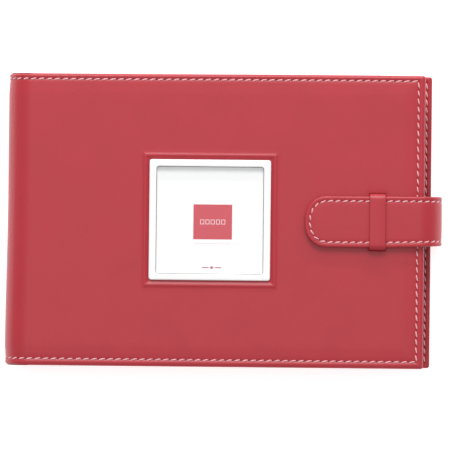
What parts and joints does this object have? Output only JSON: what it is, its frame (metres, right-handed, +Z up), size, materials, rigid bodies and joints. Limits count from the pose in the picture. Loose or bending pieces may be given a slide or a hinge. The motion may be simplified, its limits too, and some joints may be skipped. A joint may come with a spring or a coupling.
{
  "type": "stamp album",
  "caption": "Landscape stamp album with a padded stitched leather cover, a framed cover window, a wrap-round strap in a keeper loop, and stamp leaves on a binding core.",
  "frame": {"origin": "centre of the album's bounding box in plan, on the surface that the back cover lies on", "axes": "+X from the spine to the fore edge and strap, +Y to the head of the album, +Z up out of the front cover"},
  "size_m": [0.1944, 0.131, 0.0283],
  "materials": {
    "leather_red": "smooth, soft sheen",
    "leather_lining": "smooth, matt",
    "foam": "matt",
    "greyboard": "matt",
    "lining_cloth": "fine woven",
    "thread_white": "waxed thread",
    "frame_white": "satin",
    "pane_clear": "clear",
    "card_print": "smooth coated card",
    "binding_cloth": "book cloth",
    "leaf_black": "matt",
    "strip_clear": "clear film",
    "glassine": "translucent"
  },
  "bodies": {
    "back_cover": {"back_skin": "leather_red", "back_padding": "foam", "back_board": "greyboard", "back_lining": "lining_cloth", "back_thread": "thread_white", "binding_strip": "binding_cloth", "binding_core": "binding_cloth", "strap_tail": "leather_red"},
    "lower_bend": {"lower_bend_skin": "leather_red", "lower_bend_lining": "lining_cloth"},
    "spine": {"spine_skin": "leather_red", "spine_stiffener": "greyboard", "spine_lining": "lining_cloth"},
    "upper_bend": {"upper_bend_skin": "leather_red", "upper_bend_lining": "lining_cloth"},
    "front_cover": {"front_skin": "leather_red", "front_padding": "foam", "front_board": "greyboard", "front_lining": "lining_cloth", "front_thread": "thread_white", "window_frame": "frame_white", "insert_card": "card_print", "window_pane": "pane_clear", "keeper_loop": "leather_red"},
    "strap_side": {"strap_wall": "leather_red", "strap_wall_lining": "leather_lining"},
    "strap_end": {"strap_tongue": "leather_red", "strap_tongue_lining": "leather_lining", "strap_thread": "thread_white"},
    "leaf_1": {"leaf_guard_1": "binding_cloth", "leaf_card_1": "leaf_black", "strips_front_1": "strip_clear", "strips_back_1": "strip_clear", "interleaf_1": "glassine"},
    "leaf_2": {"leaf_guard_2": "binding_cloth", "leaf_card_2": "leaf_black", "strips_front_2": "strip_clear", "strips_back_2": "strip_clear", "interleaf_2": "glassine"},
    "leaf_3": {"leaf_guard_3": "binding_cloth", "leaf_card_3": "leaf_black", "strips_front_3": "strip_clear", "strips_back_3": "strip_clear", "interleaf_3": "glassine"},
    "leaf_4": {"leaf_guard_4": "binding_cloth", "leaf_card_4": "leaf_black", "strips_front_4": "strip_clear", "strips_back_4": "strip_clear", "interleaf_4": "glassine"},
    "leaf_5": {"leaf_guard_5": "binding_cloth", "leaf_card_5": "leaf_black", "strips_front_5": "strip_clear", "strips_back_5": "strip_clear", "interleaf_5": "glassine"},
    "leaf_6": {"leaf_guard_6": "binding_cloth", "leaf_card_6": "leaf_black", "strips_front_6": "strip_clear", "strips_back_6": "strip_clear", "interleaf_6": "glassine"}
  },
  "joints": [
    {"name": "lower_bend_hinge", "type": "hinge", "parent": "back_cover", "child": "lower_bend", "pos_m": [-0.09082, 0, 0.00055], "axis": [0, -1, 0], "range_deg": [0, 45]},
    {"name": "spine_hinge", "type": "hinge", "parent": "lower_bend", "child": "spine", "pos_m": [-0.09666, 0, 0.00638], "axis": [0, -1, 0], "range_deg": [0, 45]},
    {"name": "upper_bend_hinge", "type": "hinge", "parent": "spine", "child": "upper_bend", "pos_m": [-0.09666, 0, 0.01762], "axis": [0, -1, 0], "range_deg": [0, 45]},
    {"name": "front_cover_hinge", "type": "hinge", "parent": "upper_bend", "child": "front_cover", "pos_m": [-0.09082, 0, 0.02346], "axis": [0, -1, 0], "range_deg": [0, 45]},
    {"name": "leaf_hinge_1", "type": "hinge", "parent": "back_cover", "child": "leaf_1", "pos_m": [-0.0882, 0, 0.012], "axis": [0, -1, 0], "range_deg": [0, 179.2]},
    {"name": "leaf_hinge_2", "type": "hinge", "parent": "back_cover", "child": "leaf_2", "pos_m": [-0.0882, 0, 0.012], "axis": [0, -1, 0], "range_deg": [0, 178.2]},
    {"name": "leaf_hinge_3", "type": "hinge", "parent": "back_cover", "child": "leaf_3", "pos_m": [-0.0882, 0, 0.012], "axis": [0, -1, 0], "range_deg": [0, 177.2]},
    {"name": "leaf_hinge_4", "type": "hinge", "parent": "back_cover", "child": "leaf_4", "pos_m": [-0.0882, 0, 0.012], "axis": [0, -1, 0], "range_deg": [0, 176.2]},
    {"name": "leaf_hinge_5", "type": "hinge", "parent": "back_cover", "child": "leaf_5", "pos_m": [-0.0882, 0, 0.012], "axis": [0, -1, 0], "range_deg": [0, 175.2]},
    {"name": "leaf_hinge_6", "type": "hinge", "parent": "back_cover", "child": "leaf_6", "pos_m": [-0.0882, 0, 0.012], "axis": [0, -1, 0], "range_deg": [0, 174.2]},
    {"name": "strap_hinge", "type": "hinge", "parent": "back_cover", "child": "strap_side", "pos_m": [0.09623, 0, 0.00192], "axis": [0, 1, 0], "range_deg": [0, 90], "deforming": ["strap_wall", "strap_wall_lining"]},
    {"name": "strap_fold_hinge", "type": "hinge", "parent": "strap_side", "child": "strap_end", "pos_m": [0.09495, 0, 0.02465], "axis": [0, 1, 0], "range_deg": [0, 90], "deforming": ["strap_tongue", "strap_tongue_lining", "strap_thread"]}
  ],
  "couplings": [
    {"joint": "lower_bend_hinge", "follows": "front_cover_hinge", "ratio": 1},
    {"joint": "spine_hinge", "follows": "front_cover_hinge", "ratio": 1},
    {"joint": "upper_bend_hinge", "follows": "front_cover_hinge", "ratio": 1},
    {"joint": "leaf_hinge_1", "follows": "front_cover_hinge", "ratio": 3.9822},
    {"joint": "leaf_hinge_2", "follows": "front_cover_hinge", "ratio": 3.96},
    {"joint": "leaf_hinge_3", "follows": "front_cover_hinge", "ratio": 3.9378},
    {"joint": "leaf_hinge_4", "follows": "front_cover_hinge", "ratio": 3.9156},
    {"joint": "leaf_hinge_5", "follows": "front_cover_hinge", "ratio": 3.8933},
    {"joint": "leaf_hinge_6", "follows": "front_cover_hinge", "ratio": 3.8711},
    {"joint": "strap_fold_hinge", "follows": "strap_hinge", "ratio": 1}
  ]
}
